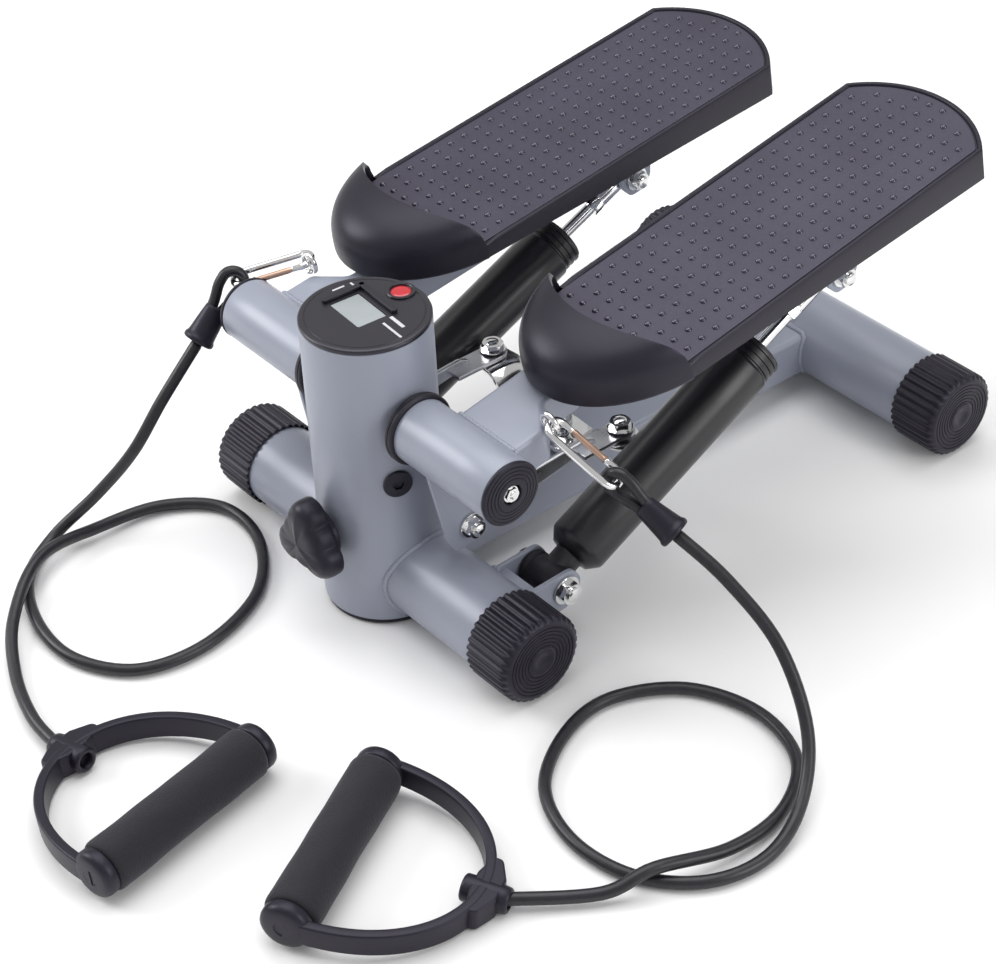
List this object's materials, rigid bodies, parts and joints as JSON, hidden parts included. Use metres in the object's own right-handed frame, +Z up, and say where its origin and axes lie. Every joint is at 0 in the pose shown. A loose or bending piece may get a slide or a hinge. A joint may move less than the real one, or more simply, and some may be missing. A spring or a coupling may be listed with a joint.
{
  "type": "mini stepper",
  "caption": "Low stepping machine with two studded pedals on hydraulic dampers, a round-tube frame, a step counter on its post and stretch bands with hand grips.",
  "frame": {"origin": "where the post's axis meets the floor, in the middle of the base plug's underside", "axes": "+Z up, +Y from the post towards the rear crossbar, +X to the side named right in the node names"},
  "size_m": [0.4944, 0.653, 0.2283],
  "materials": {
    "frame_paint": "glossy silver-grey enamel",
    "black_plastic": "moulded, satin",
    "tread_plastic": "moulded, studded",
    "foam": "closed-cell foam",
    "chrome": "bright",
    "zinc_steel": "zinc plated",
    "black_paint": "satin black",
    "nylon": "moulded nylon",
    "latex": "braided sleeve over latex",
    "lcd_grey": "polished",
    "button_red": "polished"
  },
  "bodies": {
    "frame": {"front_crossbar": "frame_paint", "rear_crossbar": "frame_paint", "main_beam": "frame_paint", "post": "frame_paint", "base_plug": "black_plastic", "right_front_foot": "black_plastic", "left_front_foot": "black_plastic", "right_rear_foot": "black_plastic", "left_rear_foot": "black_plastic", "right_damper_bracket": "frame_paint", "left_damper_bracket": "frame_paint", "bracket_bolts": "chrome", "pivot_axle": "zinc_steel", "axle_nuts": "chrome", "display_housing": "black_plastic", "display_bezel": "black_plastic", "lcd_panel": "lcd_grey", "sensor_plug": "black_plastic", "rocker_post": "zinc_steel", "right_cord": "latex", "left_cord": "latex", "right_handle_frame": "black_plastic", "left_handle_frame": "black_plastic", "right_handle_grip": "foam", "left_handle_grip": "foam"},
    "right_arm": {"right_arm": "frame_paint", "right_sleeve_bushes": "nylon", "right_sleeve_cap": "black_plastic", "right_lever_bolt": "chrome", "right_pedal": "tread_plastic", "right_toe_cup": "black_plastic", "right_pedal_screws": "zinc_steel", "right_upper_bolt": "chrome", "right_band_eye": "chrome", "right_snap_hook": "chrome", "right_band_loop": "latex"},
    "right_link": {"right_link": "zinc_steel"},
    "right_damper": {"right_damper_body": "black_paint"},
    "right_rod": {"right_damper_rod": "chrome"},
    "right_gate": {"right_hook_gate": "zinc_steel"},
    "left_arm": {"left_arm": "frame_paint", "left_sleeve_bushes": "nylon", "left_sleeve_cap": "black_plastic", "left_lever_bolt": "chrome", "left_pedal": "tread_plastic", "left_toe_cup": "black_plastic", "left_pedal_screws": "zinc_steel", "left_upper_bolt": "chrome", "left_band_eye": "chrome", "left_snap_hook": "chrome", "left_band_loop": "latex"},
    "left_link": {"left_link": "zinc_steel"},
    "left_damper": {"left_damper_body": "black_paint"},
    "left_rod": {"left_damper_rod": "chrome"},
    "left_gate": {"left_hook_gate": "zinc_steel"},
    "rocker": {"rocker_bar": "chrome", "rocker_bolts": "chrome"},
    "button": {"red_button": "button_red"},
    "knob": {"height_knob": "black_plastic"}
  },
  "joints": [
    {"name": "right_arm_pivot", "type": "hinge", "parent": "frame", "child": "right_arm", "pos_m": [0, 0, 0.139], "axis": [1, 0, 0], "range_deg": [-9.4, 6.6], "deforming": ["right_cord"]},
    {"name": "left_arm_pivot", "type": "hinge", "parent": "frame", "child": "left_arm", "pos_m": [0, 0, 0.139], "axis": [1, 0, 0], "range_deg": [-6.6, 9.4], "deforming": ["left_cord"]},
    {"name": "right_link_pivot", "type": "hinge", "parent": "right_arm", "child": "right_link", "pos_m": [0.057, 0.01787, 0.07213], "axis": [1, 0, 0], "range_deg": [-8.5, 12]},
    {"name": "left_link_pivot", "type": "hinge", "parent": "left_arm", "child": "left_link", "pos_m": [-0.057, 0.01458, 0.07133], "axis": [1, 0, 0], "range_deg": [-12, 8.5]},
    {"name": "rocker_pivot", "type": "hinge", "parent": "frame", "child": "rocker", "pos_m": [0, 0.135, 0.05], "axis": [0, 0, 1], "range_deg": [-12, 9]},
    {"name": "right_damper_pivot", "type": "hinge", "parent": "frame", "child": "right_damper", "pos_m": [0.092, 0.05, 0.033], "axis": [1, 0, 0], "range_deg": [-10, 7]},
    {"name": "right_damper_slide", "type": "slide", "parent": "right_damper", "child": "right_rod", "axis": [0, 0.8919, 0.4523], "range_m": [-0.0205, 0.0145]},
    {"name": "left_damper_pivot", "type": "hinge", "parent": "frame", "child": "left_damper", "pos_m": [-0.092, 0.05, 0.033], "axis": [1, 0, 0], "range_deg": [-7, 10]},
    {"name": "left_damper_slide", "type": "slide", "parent": "left_damper", "child": "left_rod", "axis": [0, 0.9128, 0.4083], "range_m": [-0.0145, 0.0205]},
    {"name": "button_press", "type": "slide", "parent": "frame", "child": "button", "axis": [0, 0, -1], "range_m": [0, 0.0015], "stiffness_N_per_m": 600},
    {"name": "knob_turn", "type": "hinge", "parent": "frame", "child": "knob", "pos_m": [0, -0.045, 0.063], "axis": [0, -1, 0], "range_deg": [-360, 360]},
    {"name": "right_gate_hinge", "type": "hinge", "parent": "right_arm", "child": "right_gate", "pos_m": [0.13692, 0.05642, 0.14061], "axis": [0.5204, 0.2124, 0.8271], "range_deg": [0, 18], "stiffness_Nm_per_rad": 0.01},
    {"name": "left_gate_hinge", "type": "hinge", "parent": "left_arm", "child": "left_gate", "pos_m": [-0.12873, 0.01084, 0.15122], "axis": [-0.1353, -0.2006, 0.9703], "range_deg": [0, 18], "stiffness_Nm_per_rad": 0.01}
  ],
  "couplings": [
    {"joint": "left_arm_pivot", "follows": "right_arm_pivot", "ratio": -1},
    {"joint": "right_link_pivot", "follows": "right_arm_pivot", "ratio": -1.136},
    {"joint": "left_link_pivot", "follows": "right_arm_pivot", "ratio": 1.136},
    {"joint": "rocker_pivot", "follows": "right_arm_pivot", "ratio": 1.173},
    {"joint": "right_damper_pivot", "follows": "right_arm_pivot", "ratio": 0.998},
    {"joint": "right_damper_slide", "follows": "right_arm_pivot", "m_per_rad": 0.117},
    {"joint": "left_damper_pivot", "follows": "right_arm_pivot", "ratio": -0.998},
    {"joint": "left_damper_slide", "follows": "right_arm_pivot", "m_per_rad": -0.117}
  ]
}
